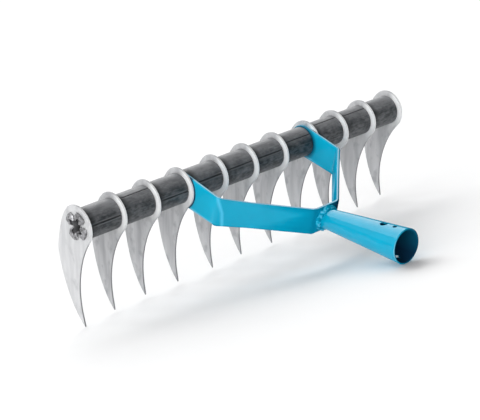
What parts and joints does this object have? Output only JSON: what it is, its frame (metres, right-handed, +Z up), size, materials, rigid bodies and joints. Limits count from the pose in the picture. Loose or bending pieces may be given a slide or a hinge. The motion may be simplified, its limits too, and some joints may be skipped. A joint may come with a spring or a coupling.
{
  "type": "scarifying rake head",
  "caption": "Rake head with sickle-shaped steel tines and plastic spacers on a staked shaft, carried by a bent strip yoke with a tapered handle socket.",
  "frame": {"origin": "on the ground below the middle of the head, which stands on its tine tips and on the lowest point of the socket's mouth", "axes": "+X along the shaft, with the end nearest the viewer's left in the picture at -X; -Y towards the handle; +Z up"},
  "size_m": [0.3604, 0.2098, 0.1006],
  "materials": {
    "blade_steel": "satin ground steel sheet with fine lengthwise streaks",
    "black_plastic": "satin moulded plastic with a mould seam",
    "shaft_steel": "drawn steel, scuffed where it is bent over",
    "blue_paint": "glossy light blue powder paint"
  },
  "bodies": {
    "root": {"tine_01": "blade_steel", "tine_02": "blade_steel", "tine_03": "blade_steel", "tine_04": "blade_steel", "tine_05": "blade_steel", "tine_06": "blade_steel", "tine_07": "blade_steel", "tine_08": "blade_steel", "tine_09": "blade_steel", "tine_10": "blade_steel", "tine_11": "blade_steel", "spacer_01": "black_plastic", "spacer_02": "black_plastic", "spacer_03": "black_plastic", "spacer_04": "black_plastic", "spacer_05": "black_plastic", "spacer_06": "black_plastic", "spacer_07": "black_plastic", "spacer_08": "black_plastic", "spacer_09": "black_plastic", "spacer_10": "black_plastic", "shaft": "shaft_steel", "yoke": "blue_paint", "handle_socket": "blue_paint", "weld_bead": "blue_paint"}
  },
  "joints": []
}
